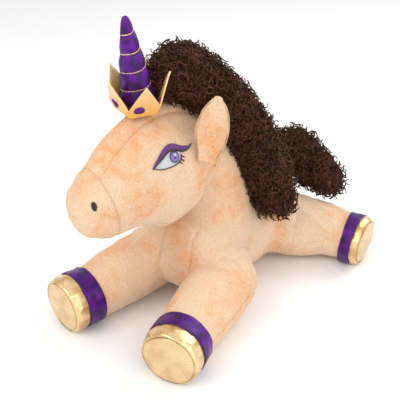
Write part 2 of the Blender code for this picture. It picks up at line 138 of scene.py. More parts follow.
area_light("key", (-0.25, -1.1, 1.15), 0.9, 8)
area_light("fill", (1.2, -0.5, 0.8), 1.1, 6)
area_light("rim", (0.4, 1.1, 1.0), 0.8, 7)
world = bpy.data.worlds.new("studio")
world.use_nodes = True
sky = world.node_tree.nodes["Background"].inputs
sky["Color"].default_value = (1, 1, 1, 1)
sky["Strength"].default_value = 0.84
scene.world = world
scene.view_settings.view_transform = "Standard"

# %% [markdown]
# ## A small language for materials
#
# Every finish below is node-based. `Signal` wraps a node's output so that a formula such as
# `specks * 0.9 + nap` builds its own Math nodes, and `Finish.node` makes any other node: its settings
# first, then the values or links of its sockets. Constant sheen or coat is set on the shader itself.

# %% Signals and finishes
class Signal:
    """The output of a node, with arithmetic that adds Math nodes."""

    def __init__(self, finish, socket):
        self.finish = finish
        self.socket = socket

    def math(self, operation, *others):
        return self.finish.node("ShaderNodeMath", {"operation": operation}, self, *others)

    def __add__(self, other):
        return self.math("ADD", other)

    def __sub__(self, other):
        return self.math("SUBTRACT", other)

    def __mul__(self, other):
        return self.math("MULTIPLY", other)

    __radd__ = __add__

    def clamped(self):
        return self.math("MAXIMUM", 0.0).math("MINIMUM", 1.0)

    def steps(self, low, high):
        """0 below low, 1 above high, smooth in between."""
        settings = {"interpolation_type": "SMOOTHSTEP"}
        return self.finish.node("ShaderNodeMapRange", settings, self, low, high, 0.0, 1.0)


class Finish:
    """One material on a Principled shader."""

    def __init__(self, name, **constants):
        self.material = bpy.data.materials.new(name)
        self.material.use_nodes = True
        self.tree = self.material.node_tree
        self.shader = self.tree.nodes["Principled BSDF"]
        for word, value in constants.items():
            self.shader.inputs[word.replace("_", " ").title()].default_value = value

    def connect(self, socket, value):
        if isinstance(value, Signal):
            self.tree.links.new(value.socket, socket)
        elif value is not None:
            socket.default_value = value

    def node(self, kind, settings=None, *values, output=0, **named):
        """Adds a node: settings first, then sockets in order, then sockets by name."""
        made = self.tree.nodes.new(kind)
        for word, value in (settings or {}).items():
            setattr(made, word, value)
        for socket, value in zip(made.inputs, values):
            self.connect(socket, value)
        for word, value in named.items():
            self.connect(made.inputs[word], value)
        return Signal(self, made.outputs[output])

    def grain(self, size, detail=2.0):
        """Noise over the object's own coordinates whose features measure about size millimetres."""
        where = self.node("ShaderNodeTexCoord", output=3)
        return self.node("ShaderNodeTexNoise", None, Vector=where, Scale=1 / (size * MM), Detail=detail)

    def ramp(self, signal, *stops):
        """Colours at places from 0 to 1."""
        made = self.node("ShaderNodeValToRGB", None, signal)
        elements = made.socket.node.color_ramp.elements
        while len(elements) < len(stops):
            elements.new(0.5)
        for element, (place, colour) in zip(elements, stops):
            element.position = place
            element.color = (*colour, 1)
        return made

    def mix(self, factor, first, second):
        made = self.tree.nodes.new("ShaderNodeMix")
        made.data_type = "RGBA"
        colours = [(*c, 1) if isinstance(c, tuple) else c for c in (first, second)]
        for socket, value in zip((0, 6, 7), (factor, *colours)):    # the factor and the two colours
            self.connect(made.inputs[socket], value)
        return Signal(self, made.outputs[2])

    def attribute(self, name):
        return self.node("ShaderNodeAttribute", {"attribute_name": name}, output=2)

    def uv(self):
        return self.node("ShaderNodeTexCoord", output=2)

    def wear(self, colour, roughness=None, height=None, depth=0.0):
        """Feeds the shader: colour, roughness and a bump whose full height is depth millimetres."""
        inputs = self.shader.inputs
        self.connect(inputs["Base Color"], colour)
        self.connect(inputs["Roughness"], roughness)
        if height:
            bump = self.node("ShaderNodeBump", None, Distance=depth * MM, Height=height)
            self.connect(inputs["Normal"], bump)
        return self.material


# %% [markdown]
# ## Plush, the finish of most of the toy
#
# Short-pile plush has broad soft apricot patches over a cream base: partly the cloth's own mottled tone,
# partly painted shade and sheen of its nap. Closer in, the pile clumps into specks a millimetre or two
# across, with painted highlight on their tips and painted shade between them. Each sewn form stores how
# near every point is to a seam in an attribute called seam, and the plush is darkened there as painted
# shade in the seam's groove.

# %% Plush
# CREAM and APRICOT are the cloth's tones; the apricot patches are also partly painted shade and sheen.
CREAM = (0.80, 0.57, 0.38)
APRICOT = (0.78, 0.35, 0.13)
# The pale tips are a painted highlight on the pile; SHADE is painted shade in the dips and seams.
PILE_TIP_HIGHLIGHT = (0.90, 0.74, 0.58)
SHADE = (0.52, 0.24, 0.10)


def plush(name, warmth):
    """Short pile: warmth is the share of apricot patches, which are partly painted shade and sheen."""
    finish = Finish(name, roughness=0.95, sheen_weight=0.35, sheen_roughness=0.45,
                    sheen_tint=(1.0, 0.86, 0.72, 1))
    # Broad apricot patches: partly the cloth's mottled tone, partly painted shade and sheen of the nap.
    broad = finish.grain(46, 3.0).steps(0.62 - warmth * 0.25, 0.80 - warmth * 0.22)
    mottle = finish.grain(9, 4.0).steps(0.40, 0.66)
    specks = finish.grain(1.3, 3.0)
    base = finish.mix((broad * (0.45 + mottle * 0.45)).clamped(), CREAM, APRICOT)
    # Painted highlight on the pile's tips, then painted shade in the dips between specks.
    tip_highlights = finish.mix(specks.steps(0.35, 0.75) * 0.28, base, PILE_TIP_HIGHLIGHT)
    dip_shade = finish.mix(specks.steps(0.62, 0.30) * 0.26, tip_highlights, SHADE)
    # Along seams the colour goes to SHADE: painted shade in the seam grooves.
    colour = finish.mix((finish.attribute("seam") * 0.55).clamped(), dip_shade, SHADE)
    nap = finish.grain(0.55, 2.0) * 0.5 + specks * 0.9 + finish.grain(4, 2.0) * 0.6
    return finish.wear(colour, height=nap, depth=0.9)


PLUSH = plush("plush_body", 0.80)
PLUSH_HEAD = plush("plush_head", 0.78)
print("plush finishes made")

# %% [markdown]
# ## Stuffed forms
#
# A stuffed form is drawn as stations along a spine: where the ring's middle is, how wide and how
# high. Rings are circles bridged into a tube. Several tubes joined by a voxel remesh become one
# skin, as sewn panels do, and a short cloth run with pressure inside gives it the roundness that
# filling gives. How far a point may travel is capped, so the toy keeps its size.

# %% Rings and lofts
WAVES_PER_MM = 0.11
DOME_STEPS = (20, 40, 58, 72, 83)    # degrees round the rounded end


def smooth(stations, count):
    """Stations spread evenly along a Catmull-Rom curve through the given ones."""
    rows = np.array(stations, float)
    ends = np.vstack([2 * rows[0] - rows[1], rows, 2 * rows[-1] - rows[-2]])
    found = []
    for place in np.linspace(0, len(rows) - 1, count):
        i = min(int(place), len(rows) - 2)
        t = place - i
        a, b, c, d = ends[i:i + 4]
        curve = 2 * b + (c - a) * t + (2 * a - 5 * b + 4 * c - d) * t ** 2
        found.append((curve + (3 * b - a - 3 * c + d) * t ** 3) / 2)
    return np.array(found)


def domed(rows, dome, at_start):
    """Shrinking stations that round off one end by the length dome."""
    rows = rows[::-1] if at_start else rows
    last = rows[-1].copy()
    along = (last[:3] - rows[-2][:3]) / np.linalg.norm(last[:3] - rows[-2][:3])
    for angle in np.radians(DOME_STEPS):
        row = last.copy()
        row[:3] += along * dome * math.sin(angle)
        row[3:] *= math.cos(angle)
        rows = np.vstack([rows, row])
    return rows[::-1] if at_start else rows


def ring_frame(rows, i):
    """The middle of ring i, its sideways and upward directions, and its half sizes."""
    tangent = Vector(np.gradient(rows[:, :3], axis=0)[i]).normalized()
    side = tangent.cross(Vector((0, 0, 1)))
    if side.length < 0.5 or abs(tangent.x) < 1e-6:
        side = Vector((1, 0, 0))
    side.normalize()
    up = side.cross(tangent)
    if up.z < 0 or (abs(up.z) < 0.3 and up.y < 0):
        up.negate()
    return Vector(rows[i, :3]), side, up, rows[i, 3], rows[i, 4]


def at_form(rows, share, degrees, lift=0.0):
    """The point of a lofted form at a share of its length, some degrees round its ring."""
    place = share * (len(rows) - 1)
    i = min(int(place), len(rows) - 2)
    points = []
    for step in (i, i + 1):
        middle, side, up, width, height = ring_frame(rows, step)
        angle = math.radians(degrees)
        points.append(middle + side * (width + lift) * math.cos(angle)
                      + up * (height + lift) * math.sin(angle))
    return points[0].lerp(points[1], place - i)


def tube(bm, rows, sides, grow=0.0, waves=0.0):
    """Circles across the stations, bridged into an open tube whose wall may wave a little."""
    loops = []
    for i in range(len(rows)):
        middle, side, up, width, height = ring_frame(rows, i)
        turn = Matrix((side * (width + grow), up * (height + grow), side.cross(up))).transposed()
        where = Matrix.Translation(middle) @ turn.to_4x4()
        ring = bmesh.ops.create_circle(bm, segments=sides, radius=1, matrix=where)
        loops.append(list({edge for vert in ring["verts"] for edge in vert.link_edges}))
        for vert in ring["verts"] if waves else ():
            vert.co += (vert.co - middle).normalized() * waves * noise.noise(vert.co * WAVES_PER_MM)
    for near, far in zip(loops, loops[1:]):
        bmesh.ops.bridge_loops(bm, edges=near + far)
    return loops


def loft(bm, rows, sides=28):
    """A tube closed at both ends."""
    loops = tube(bm, rows, sides)
    for ends in (loops[0], loops[-1]):
        bmesh.ops.contextual_create(bm, geom=ends)
    bmesh.ops.recalc_face_normals(bm, faces=bm.faces)


def band(rows, sides, waves, lift=0.0):
    """An open tube round a leg, for a ribbon or a hoof's cup."""
    bm = bmesh.new()
    tube(bm, rows, sides, lift, waves)
    bmesh.ops.recalc_face_normals(bm, faces=bm.faces)
    return bm


# %% Pieces and their finishing
def piece_from(bm, name, where, material):
    """Puts a bmesh drawn in millimetres into the scene as a piece at the origin."""
    bm.transform(where)
    mesh = bpy.data.meshes.new(name)
    bm.to_mesh(mesh)
    bm.free()
    mesh.materials.append(material)
    mesh.shade_smooth()
    piece = bpy.data.objects.new(name, mesh)
    scene.collection.objects.link(piece)
    return piece


def settle(piece):
    """Applies the piece's modifiers by taking its evaluated mesh."""
    made = bpy.data.meshes.new_from_object(piece.evaluated_get(bpy.context.evaluated_depsgraph_get()))
    old = piece.data
    piece.modifiers.clear()
    piece.data = made
    bpy.data.meshes.remove(old)
    piece.data.shade_smooth()
    return piece


def remesh(piece, voxel):
    """One even skin round everything in the piece."""
    skin = piece.modifiers.new("one skin", "REMESH")
    skin.mode = "VOXEL"
    skin.voxel_size = voxel * MM
    evener = piece.modifiers.new("evener", "SMOOTH")
    evener.iterations = 4
    return settle(piece)


def subdivide(piece):
    fine = piece.modifiers.new("fine", "SUBSURF")
    fine.levels = 1
    fine.render_levels = 1
    return settle(piece)


def thicken(piece, thickness, offset):
    """Gives a sheet its thickness in millimetres: offset -1 grows it inwards, 1 outwards."""
    sheet = piece.modifiers.new("thickness", "SOLIDIFY")
    sheet.thickness = thickness * MM
    sheet.offset = offset


def nearness(points):
    """A search tree of points."""
    near = KDTree(len(points))
    for i, point in enumerate(points):
        near.insert(point, i)
    near.balance()
    return near


def dress(piece, body, slot, *replaced):
    """Ties a piece to its body and names the solids it stands for; slot, its kind of material, is not used.
    """
    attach(piece, body)
    if replaced:
        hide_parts(*replaced)


def positions(mesh):
    found = np.empty(len(mesh.vertices) * 3)
    mesh.vertices.foreach_get("co", found)
    return found.reshape(-1, 3)


def mould(piece, push):
    """Moves each point by push(point, normal), a vector in metres; the floor stays the limit."""
    mesh = piece.data
    facing = np.empty(len(mesh.vertices) * 3)
    mesh.vertex_normals.foreach_get("vector", facing)
    after = []
    for at, normal in zip(positions(mesh), facing.reshape(-1, 3)):
        point = Vector(at)
        point += push(point, Vector(normal))
        point.z = max(point.z, FLOOR_LIFT * MM)
        after.append(point)
    mesh.vertices.foreach_set("co", np.array(after).ravel())
    mesh.update()


CLOTH_PRESSURE = 4.0
CLOTH_FRAMES = 20
HELD_WITHIN = 3          # mm from a seam's line


def stuff(piece, cap, held=()):
    """Fills the piece: a cloth run with pressure inside and no gravity; travel is capped in mm."""
    before = positions(piece.data)
    if held:
        group = piece.vertex_groups.new(name="held")
        near = nearness(held)
        for i, point in enumerate(before):
            if near.find(point)[2] < HELD_WITHIN * MM:
                group.add([i], 1.0, "REPLACE")
    cloth = piece.modifiers.new("filling", "CLOTH")
    cloth.settings.quality = 5
    cloth.settings.use_pressure = True
    cloth.settings.uniform_pressure_force = CLOTH_PRESSURE
    cloth.settings.effector_weights.gravity = 0
    cloth.settings.tension_stiffness = 12
    cloth.settings.bending_stiffness = 0.4
    if held:
        cloth.settings.vertex_group_mass = "held"
    cloth.point_cache.frame_end = CLOTH_FRAMES
    for step in range(1, CLOTH_FRAMES + 1):
        scene.frame_set(step)
    settle(piece)
    scene.frame_set(1)
    moved = positions(piece.data) - before
    length = np.maximum(np.linalg.norm(moved, axis=1, keepdims=True), 1e-9)
    after = before + moved * np.minimum(1, cap * MM / length)
    piece.data.vertices.foreach_set("co", after.ravel())
    piece.vertex_groups.clear()
    print(piece.name, "filled, moved up to", round(float(length.max()) * 1000, 1), "mm")


def sew(piece, lines, depth=1.2, width=2.0):
    """Pulls the skin in along seam lines and stores how near each point is to one.

    A line is a list of points in the scene; each is first laid on the skin."""
    surface = BVHTree.FromObject(piece, bpy.context.evaluated_depsgraph_get())
    laid = []
    for line in lines:
        on_skin = [surface.find_nearest(point)[0] for point in line]
        for start, end in zip(on_skin, on_skin[1:]):
            steps = max(2, int((end - start).length / (0.8 * MM)))
            laid += [surface.find_nearest(start.lerp(end, i / steps))[0] for i in range(steps)]
    near = nearness(laid)
    reach = width * MM
    seam = []

    def pull_in(point, normal):
        gap = near.find(point)[2] / reach
        seam.append(math.exp(-(gap / 0.42) ** 2))
        return normal * -depth * MM * math.exp(-gap ** 2)

    mould(piece, pull_in)
    # This nearness is the mask of painted shade along the seams.
    store = piece.data.attributes.new("seam", "FLOAT", "POINT")
    store.data.foreach_set("value", seam)


def rumple(piece, amount, size, seed=0):
    """Soft unevenness, as filling gives: each point moves along its normal by smooth noise."""
    offset = Vector((seed * 3.7, seed * 1.9, seed * 5.3))
    mould(piece, lambda point, normal:
          normal * noise.noise(point / (size * MM) + offset) * amount * MM)

# %% [markdown]
# ## The trunk
#
# The trunk's cover is one skin round the barrel of the body, the neck and the four places where the
# legs are sewn in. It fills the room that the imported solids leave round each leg, so a leg always
# sinks into soft cloth. The chest panel's seams run down from the neck between the forelegs, and the
# belly panel's along the underside.

# %% The trunk's cover
TRUNK = [
    (0, 146, 42, 30, 30), (0, 128, 43, 41, 43), (0, 98, 45, 43, 48), (0, 66, 47, 43, 50),
    (0, 30, 51, 43, 52), (0, 0, 51, 43, 48), (0, -20, 53, 39, 40),
]
NECK = [
    (0, 28, 50, 38, 38), (0, 24, 84, 37, 39), (0, 20, 112, 33, 35), (0, 16, 128, 30, 31),
    (0, 12, 140, 28, 28),
]
SHOULDERS = [(33, -13, 38, 33), (33, 108, 39, 35)]   # where the legs are sewn in, with a radius

bm = bmesh.new()
loft(bm, domed(domed(smooth(TRUNK, 13), 15, True), 22, False))
loft(bm, domed(smooth(NECK, 9), 26, False))
for x, y, z, radius in SHOULDERS:
    for side in SIDES.values():
        ball = Matrix.Translation((side * x, y, z)) @ Matrix.Diagonal((0.92, 1.12, 1.0, 1))
        bmesh.ops.create_uvsphere(bm, u_segments=24, v_segments=14, radius=radius, matrix=ball)
for vert in bm.verts:
    vert.co.z = max(vert.co.z, FLOOR_LIFT)
trunk = remesh(piece_from(bm, "trunk_cover", BODY, PLUSH), 3.2)
relax = trunk.modifiers.new("soft folds", "SMOOTH")
relax.iterations = 7
settle(trunk)


def body_line(side, *points):
    return [BODY @ Vector((side * x, y, z)) for x, y, z in points]


CHEST_SEAM = (25, -38, 100), (22, -46, 84), (20, -48, 66), (19, -42, 44), (20, -30, 22), (21, -16, 4)
BELLY_SEAM = (21, -16, 4), (21, 30, 0), (21, 90, 0), (20, 140, 18)
CROSS_SEAM = (-21, -16, 3), (0, -22, 5), (21, -16, 3)
BACK_SEAM = (0, 60, 99), (0, 90, 94), (0, 120, 87), (0, 146, 76), (0, 160, 60)
trunk_lines = [body_line(side, *seam) for seam in (CHEST_SEAM, BELLY_SEAM) for side in SIDES.values()]
trunk_lines += [body_line(1, *seam) for seam in (CROSS_SEAM, BACK_SEAM)]
stuff(trunk, 2.0, held=[point for line in trunk_lines for point in line])
subdivide(trunk)
rumple(trunk, 0.7, 22, seed=1)
sew(trunk, trunk_lines)
dress(trunk, "root", "plush", "trunk_skin", "chest_gusset", "belly_gusset", "trunk_filling")
print("trunk cover:", len(trunk.data.polygons), "faces")

# %% [markdown]
# ## Legs
#
# A leg is a stuffed tube whose upper end is a ball round the point where it turns, so it can swing
# in the trunk's soft side without opening a gap. The cloth gathers there in a few folds. A satin
# ribbon is sewn round it above the hoof, and the hoof is a short cup of gold leatherette closed by a
# round sole, with a stitched seam between them.

# %% Leg shapes
LEGS = {
    "front": [(42, -16, 34, 31, 32), (46, -44, 32, 31, 31), (51, -72, 29, 29, 29),
              (55.5, -99, 26.5, 26, 26), (59, -114, 26, 26, 26), (61.8, -127, 25.5, 26, 25.5)],
    "hind": [(43, 112, 36, 32, 35), (61, 127, 33, 31, 32), (79, 136, 29, 28, 28),
             (93, 140.5, 26.5, 25.5, 26), (104, 141.5, 26, 26, 26), (113, 142, 25.5, 25.5, 25)],
}
RIBBONS = {"front": (0.60, 0.825), "hind": (0.60, 0.87)}
HOOF_FROM = {"front": 0.81, "hind": 0.855}


def part_of(rows, start, end, count):
    """Stations between two shares of the form's length."""
    fine = smooth(rows, 101)
    places = np.linspace(start * 100, end * 100, count)
    return np.array([[np.interp(p, range(101), column) for column in fine.T] for p in places])


def lie_down(bm, floor=FLOOR_LIFT):
    """Flattens what would reach below the surface the toy lies on, with a soft edge."""
    for vert in bm.verts:
        if vert.co.z < floor + 3:
            vert.co.z = max(floor, floor + (vert.co.z - floor + 3) / 2)


GATHERS = 9              # folds round the top of a leg
GATHERED_AT = 37         # mm from the leg's root
GATHERED_OVER = 9        # mm either way


def leg_cover(name, rows, body, side):
    """The plush tube of one leg, with gathers where it is sewn in."""
    bm = bmesh.new()
    skin_rows = domed(part_of(rows, 0, HOOF_FROM[name.split("_")[0]] + 0.01, 15), rows[0][3], True)
    loft(bm, skin_rows)
    lie_down(bm)
    cover = remesh(piece_from(bm, name + "_cover", BODY, PLUSH), 2.9)
    stuff(cover, 1.6)
    subdivide(cover)
    root_end = BODY @ Vector(rows[0][:3])

    def gather(point, normal):
        away = (point - root_end).length / MM
        angle = math.atan2(point.z - root_end.z, point.y - root_end.y)
        fold = math.sin(angle * GATHERS + away * 0.10) + 0.5 * math.sin(angle * 17 + 1.3)
        near_root = math.exp(-((away - GATHERED_AT) / GATHERED_OVER) ** 2)
        return normal * (fold * 0.75 - 0.4) * near_root * MM

    mould(cover, gather)
    rumple(cover, 0.8, 17, seed=len(name) + side)
    underside = [at_form(skin_rows, share, -92) for share in (0.30, 0.5, 0.7, 0.9, 1.0)]
    inner = [at_form(skin_rows, share, 178 if side > 0 else 2) for share in (0.34, 0.5, 0.7, 0.9, 1.0)]
    sew(cover, [[BODY @ point for point in line] for line in (underside, inner)], 1.0, 2.0)
    dress(cover, body, "plush", name + "_leg_skin", name + "_filling")


# %% [markdown]
# ## Satin, leatherette and thread
#
# Satin is smooth and takes its shine from long floats of thread; that shine is painted into its colour
# as bright soft streaks over a dark tone, with a fine weave over them. Gold leatherette is a metallic
# film over a soft cloth: glossy, a little uneven, with fine grain. Embroidery thread lies side by side,
# so it has parallel ridges, painted lighter on their crests and darker between them.

# %% Satin, leatherette and thread
def satin(name, deep, bright, rib=0.45):
    """Shiny cloth whose colour swings between a deep tone and bright streaks of painted sheen."""
    finish = Finish(name, metallic=0.45, coat_weight=0.08, coat_roughness=0.3)
    # Bright streaks of painted sheen over the deep tone.
    sheen_streaks = finish.grain(7, 3.0).steps(0.36, 0.70)
    weave = finish.grain(rib, 1.0)
    colour = finish.mix((sheen_streaks * 0.75 + weave * 0.3).clamped(), deep, bright)
    # Towards seams the colour goes to the deep tone: painted shade in the seams.
    edge = finish.mix(finish.attribute("seam").clamped(), colour, deep)
    return finish.wear(edge, 0.26 + weave * 0.22, weave * 0.5 + finish.grain(3, 2.0) * 0.5, 0.35)


def leatherette(name, pale, deep, metal=0.85):
    """Gold film on cloth: glossy, softly uneven, finely grained."""
    finish = Finish(name, metallic=metal, coat_weight=0.15, coat_roughness=0.2)
    broad = finish.grain(14, 2.0).steps(0.35, 0.70)
    grain = finish.grain(0.7, 2.0)
    colour = finish.mix(broad, pale, deep)
    # Near seams the gold goes dark brown: painted shade in the seam creases.
    crease_shade = finish.mix((finish.attribute("seam") * 0.8).clamped(), colour, (0.30, 0.17, 0.06))
    height = grain * 0.25 + finish.grain(5, 2.0) * 0.9
    return finish.wear(crease_shade, 0.20 + grain * 0.16 + broad * 0.08, height, 0.5)


def thread(name, deep, bright, pitch=0.5, shine=0.45, metal=0.0):
    """Stitches lying side by side: fine ridges along the piece's own UV map, painted lighter on their crests
    and darker between them.
    """
    finish = Finish(name, metallic=metal, sheen_weight=0.2)
    lines = {"wave_type": "BANDS", "bands_direction": "X", "wave_profile": "SIN"}
    ridge = finish.node("ShaderNodeTexWave", lines, output=1, Vector=finish.uv(),
                        Scale=0.5 / pitch, Distortion=1.2, Detail=1.0)
    tone = finish.grain(1.1, 2.0)
    # Crests painted lighter and troughs darker, as painted highlight and shade, mixed with random tone.
    colour = finish.mix((ridge * 0.5 + tone * 0.5).clamped(), deep, bright)
    return finish.wear(colour, shine + tone * 0.2, ridge, 0.22)


SATIN = satin("purple_satin", (0.020, 0.000, 0.062), (0.115, 0.000, 0.27))
HOOF_GOLD = leatherette("hoof_leatherette", (0.90, 0.67, 0.36), (0.60, 0.39, 0.17))
SOLE_GOLD = leatherette("sole_leatherette", (0.80, 0.58, 0.31), (0.66, 0.45, 0.22), 0.60)
BROWN_THREAD = thread("seam_thread", (0.16, 0.08, 0.03), (0.36, 0.20, 0.08))
print("satin, leatherette and thread made")


# %% Hooves, soles and ribbons
def drawn_mesh(name, points, radius, roundness=2, closed=False, radii=(), material=None):
    """The mesh of a bevelled curve through points in metres; radii scale it along its length."""
    curve = bpy.data.curves.new(name, "CURVE")
    curve.dimensions = "3D"
    curve.bevel_depth = radius * MM
    curve.bevel_resolution = roundness
    curve.use_fill_caps = not closed
    line = curve.splines.new("POLY")
    line.points.add(len(points) - 1)
    line.use_cyclic_u = closed
    for place, point in zip(line.points, points):
        place.co = (*point, 1)
    for place, share in zip(line.points, radii):
        place.radius = share
    if material:
        curve.materials.append(material)
    drawn = bpy.data.objects.new(name + "_line", curve)
    scene.collection.objects.link(drawn)
    depsgraph = bpy.context.evaluated_depsgraph_get()
    mesh = bpy.data.meshes.new_from_object(drawn.evaluated_get(depsgraph))
    bpy.data.objects.remove(drawn)
    mesh.shade_smooth()
    return mesh


def wire(name, points, radius, material, body, slot, replaced, where, closed=False):
    """A thread or wire laid through the points."""
    placed = [where @ Vector(point) for point in points]
    piece = bpy.data.objects.new(name, drawn_mesh(name, placed, radius, closed=closed, material=material))
    scene.collection.objects.link(piece)
    dress(piece, body, slot, replaced)


def stitches(name, path, length, gap, radius, material, body, where=BODY):
    """Short thread stitches set end to end along a path of points."""
    bm = bmesh.new()
    spots = [Vector(point) for point in path]
    carried = 0.0
    for start, end in zip(spots, spots[1:]):
        run = (end - start).length
        along = (end - start).normalized()
        while carried < run:
            turn = along.to_track_quat("Z", "Y").to_matrix().to_4x4()
            at = Matrix.Translation(start + along * carried) @ turn
            at = at @ Matrix.Diagonal((radius, radius, length / 2, 1))
            bmesh.ops.create_uvsphere(bm, u_segments=6, v_segments=5, radius=1, matrix=at)
            carried += length + gap
        carried -= run
    dress(piece_from(bm, name, where, material), body, "gold_thread")


def parts_of(extruded, kind):
    return [part for part in extruded if isinstance(part, kind)]


SEAM_GROW = 0.3          # mm by which the hoof stands out past the leg
CUP_SWELL = 0.9
CUP_LIP = [(1.6, 0.975), (2.6, 0.92), (2.4, 0.86)]    # mm ahead of the cup, share of its radius
SOLE_DOME = [(0.4, 0.88), (2.2, 0.90), (3.2, 0.86), (4.0, 0.74), (4.5, 0.56), (4.8, 0.36), (4.9, 0.15)]
STITCH_AHEAD = 2.5


def hoof_set(name, rows, body):
    """The gold cup, its sole, the seam between them and the ribbon above."""
    kind = name.split("_")[0]
    cup_rows = part_of(rows, HOOF_FROM[kind], 1, 9)
    along = Vector(cup_rows[-1][:3] - cup_rows[-2][:3]).normalized()
    for i, row in enumerate(cup_rows):
        row[3:] += CUP_SWELL * math.sin(math.pi * i / 8) + SEAM_GROW
    bm = band(cup_rows, 64, 1.1)
    middle = Vector(cup_rows[-1][:3])
    rim = [edge for edge in bm.edges if edge.is_boundary and
           all((vert.co - middle).dot(along) > -2 for vert in edge.verts)]
    for ahead, share in CUP_LIP:
        made = bmesh.ops.extrude_edge_only(bm, edges=rim)["geom"]
        rim = parts_of(made, bmesh.types.BMEdge)
        target = middle + along * ahead
        for vert in parts_of(made, bmesh.types.BMVert):
            spoke = vert.co - middle
            spoke -= along * spoke.dot(along)
            vert.co = target + spoke.normalized() * (rows[-1][3] + SEAM_GROW) * share
    lie_down(bm)
    cup = piece_from(bm, name + "_hoof_cup", BODY, HOOF_GOLD)
    thicken(cup, 0.9, -1)
    subdivide(cup)
    near_sole = BODY @ (middle + along * 2)

    def crumple(point, normal):
        away = (point - near_sole).dot(along) / MM
        crease = noise.noise(point / (4.6 * MM) + Vector((len(name), 0, 0)))
        fine = abs(noise.noise(point / (2.2 * MM))) * math.exp(-(away / 7) ** 2)
        return normal * (crease * 0.35 - fine * 0.4) * MM

    mould(cup, crumple)
    dress(cup, body, "gold_leatherette", name + "_hoof")
    bm = bmesh.new()
    sole_rows = np.array([rows[-1]] * len(SOLE_DOME), float)
    for row, (ahead, share) in zip(sole_rows, SOLE_DOME):
        row[:3] += np.array(along) * ahead
        row[3:] = (rows[-1][3:] + SEAM_GROW) * share
    loft(bm, sole_rows, 64)
    lie_down(bm, FLOOR_LIFT + 1)
    sole = subdivide(piece_from(bm, name + "_hoof_sole", BODY, SOLE_GOLD))
    rumple(sole, 0.9, 13, seed=len(name))
    dress(sole, body, "gold_leatherette", name + "_sole")
    ribbon_rows = part_of(rows, *RIBBONS[kind], 7)
    bm = band(ribbon_rows, 72, 0.9, lift=1.1)
    lie_down(bm)
    ribbon = piece_from(bm, name + "_satin_ribbon", BODY, SATIN)
    thicken(ribbon, 0.7, 0.5)
    dress(subdivide(ribbon), body, "purple_satin", name + "_ribbon")
    seam_row = cup_rows[-1].copy()
    seam_row[:3] += np.array(along) * STITCH_AHEAD
    seam_rows = np.array([seam_row, seam_row + [*along, 0, 0]])
    ring = [at_form(seam_rows, 0, 360 * i / 96, -2.1) for i in range(97)]
    ring = [Vector((p.x, p.y, max(p.z, 2.2))) for p in ring]
    stitches(name + "_sole_stitches", ring, 1.7, 0.5, 0.28, BROWN_THREAD, body)


for side_name, side in SIDES.items():
    for kind, stations in LEGS.items():
        name = f"{kind}_{side_name}"
        rows = np.array(stations, float) * [side, 1, 1, 1, 1]
        leg_cover(name, rows, name + "_leg", side)
        hoof_set(name, rows, name + "_leg")
        print("leg made:", name)

# %% [markdown]
# ## The head
#
# The head's cover has a strip over the forehead and nose, two cheeks, a chin and a muzzle. The form is
# one stuffed skin with its section drawn narrower towards the top, as a pony's is; then the seams
# between those panels are sewn into it. The search tree of its surface, `head_surface`, is where the
# embroidery is laid later.

# %% The head's skin
HEAD_FORM = [
    (0, -8, 156, 30, 40), (0, -24, 155, 35, 53), (0, -44, 153, 37, 59), (0, -66, 152, 36.5, 56.5),
    (0, -88, 147, 31, 46.5), (0, -105, 141, 27, 37.5), (0, -119, 137.5, 24, 33), (0, -129, 136, 20.5, 25),
]
TOP_NARROWING = 0.54
MUZZLE_FROM = 0.80
STRIP_EDGE = 58          # degrees round the section, from the left, where the strip is sewn
CHIN_EDGE = -58

HEAD_RINGS = 25
head_rows = domed(domed(smooth(HEAD_FORM, HEAD_RINGS), 11, False), 20, True)


def narrowed(point):
    """Draws a point of the head's form in towards the middle, more the higher it is."""
    above = (point.z - 150) / 60
    share = 1 - TOP_NARROWING * max(0.0, above) ** 1.3
    return Vector((point.x * share, point.y, point.z))


def on_head(share, degrees):
    """A point of the head's surface at a share of its length, some degrees round."""
    undomed = head_rows[len(DOME_STEPS):][:HEAD_RINGS]
    return narrowed(at_form(undomed, share, degrees))


bm = bmesh.new()
loft(bm, head_rows, 44)
for vert in bm.verts:
    vert.co = narrowed(vert.co)
head = remesh(piece_from(bm, "head_cover", HEAD, PLUSH_HEAD), 2.8)


def head_line(*marks):
    return [HEAD @ on_head(*mark) for mark in marks]


shares = [i / 16 for i in range(14)]
strip_seams = [head_line(*[(share, turn) for share in shares]) for turn in (STRIP_EDGE, 180 - STRIP_EDGE)]
chin_seams = [
    head_line(*[(0.25 + share * 0.68, turn) for share in shares])
    for turn in (CHIN_EDGE, -180 - CHIN_EDGE)
]
muzzle_seam = [head_line(*[(MUZZLE_FROM, 360 * i / 40) for i in range(41)])]
all_seams = strip_seams + chin_seams + muzzle_seam
stuff(head, 2.0, held=[point for line in all_seams for point in line])
subdivide(head)
rumple(head, 0.9, 20, seed=4)
sew(head, all_seams, 0.95, 1.9)
dress(head, "head", "plush", "head_skin", "head_gusset", "muzzle_panel", "head_filling")
head_surface = BVHTree.FromObject(head, bpy.context.evaluated_depsgraph_get())
print("head cover:", len(head.data.polygons), "faces")

# %% [markdown]
# ## Ears and hoops
#
# Each ear is two layers of plush sewn together along their edge and turned: a back and a slightly
# smaller lining, both cupped so that the ear opens forwards. Both are flat lofts bent by one formula.
# A thin gold hoop hangs from a hole near the seam at the ear's base.

# %% Ears
EAR_AT = (43, -23, 164)
EAR_TURN = math.radians(40)
EAR_TILT = math.radians(10)
EAR_SHAPE = [(-2, 8), (6, 9), (14, 12), (24, 15.5), (34, 16), (43, 13.5), (51, 9), (56, 4)]
EAR_CUP = 13.0           # mm by which the ear's edges come forwards at its base
EAR_CUP_FADE = 0.11      # less of it for each millimetre up
EAR_FLAP = 1.35          # the outer edge comes forwards this much more
EAR_HALF = 15
HOOP_RADIUS = 6.6
HOOP_WIRE = 0.75
PLUSH_EAR = plush("plush_ear_lining", 0.75)


